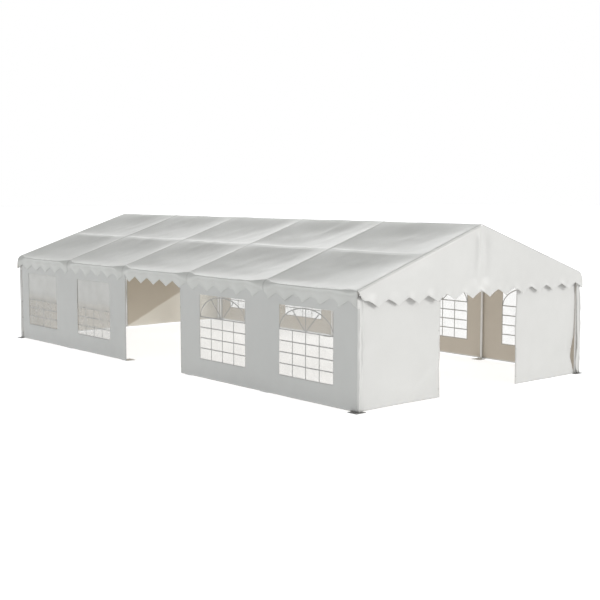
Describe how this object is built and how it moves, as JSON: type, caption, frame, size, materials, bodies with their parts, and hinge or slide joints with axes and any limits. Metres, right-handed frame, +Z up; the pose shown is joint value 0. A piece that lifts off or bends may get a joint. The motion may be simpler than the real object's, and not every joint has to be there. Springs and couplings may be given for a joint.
{
  "type": "marquee tent",
  "caption": "Long white marquee tent with a pitched fabric roof, zigzag valance, side walls with clear windows and an open entrance in the gable, on a steel tube frame.",
  "frame": {"origin": "on the ground, in the middle of the tent", "axes": "+Y along the ridge from the front gable to the back, +X across the tent, +Z up"},
  "size_m": [6.1494, 12.1494, 3],
  "materials": {
    "roof_fabric": "white coated fabric, low sheen",
    "gable_fabric": "white coated fabric, low sheen",
    "wall_fabric": "white coated fabric, low sheen",
    "window_film": "clear soft film with grey printed glazing bars",
    "steel_tube": "galvanised, satin"
  },
  "bodies": {
    "root": {"back_gable": "gable_fabric", "back_wall_left": "wall_fabric", "back_wall_right": "wall_fabric", "eave_bar_left": "steel_tube", "eave_bar_right": "steel_tube", "front_gable": "gable_fabric", "front_wall_left": "wall_fabric", "front_wall_right": "wall_fabric", "left_wall_front": "wall_fabric", "left_wall_rear": "wall_fabric", "post_left_1": "steel_tube", "post_left_2": "steel_tube", "post_left_3": "steel_tube", "post_left_4": "steel_tube", "post_left_5": "steel_tube", "post_left_6": "steel_tube", "post_right_1": "steel_tube", "post_right_2": "steel_tube", "post_right_3": "steel_tube", "post_right_4": "steel_tube", "post_right_5": "steel_tube", "post_right_6": "steel_tube", "purlin_left": "steel_tube", "purlin_right": "steel_tube", "rafter_left_1": "steel_tube", "rafter_left_2": "steel_tube", "rafter_left_3": "steel_tube", "rafter_left_4": "steel_tube", "rafter_left_5": "steel_tube", "rafter_left_6": "steel_tube", "rafter_right_1": "steel_tube", "rafter_right_2": "steel_tube", "rafter_right_3": "steel_tube", "rafter_right_4": "steel_tube", "rafter_right_5": "steel_tube", "rafter_right_6": "steel_tube", "ridge_bar": "steel_tube", "right_wall_front": "wall_fabric", "right_wall_rear": "wall_fabric", "roof_cover": "roof_fabric", "window_left_1": "window_film", "window_left_2": "window_film", "window_left_4": "window_film", "window_left_5": "window_film", "window_right_1": "window_film", "window_right_2": "window_film", "window_right_4": "window_film", "window_right_5": "window_film"}
  },
  "joints": []
}
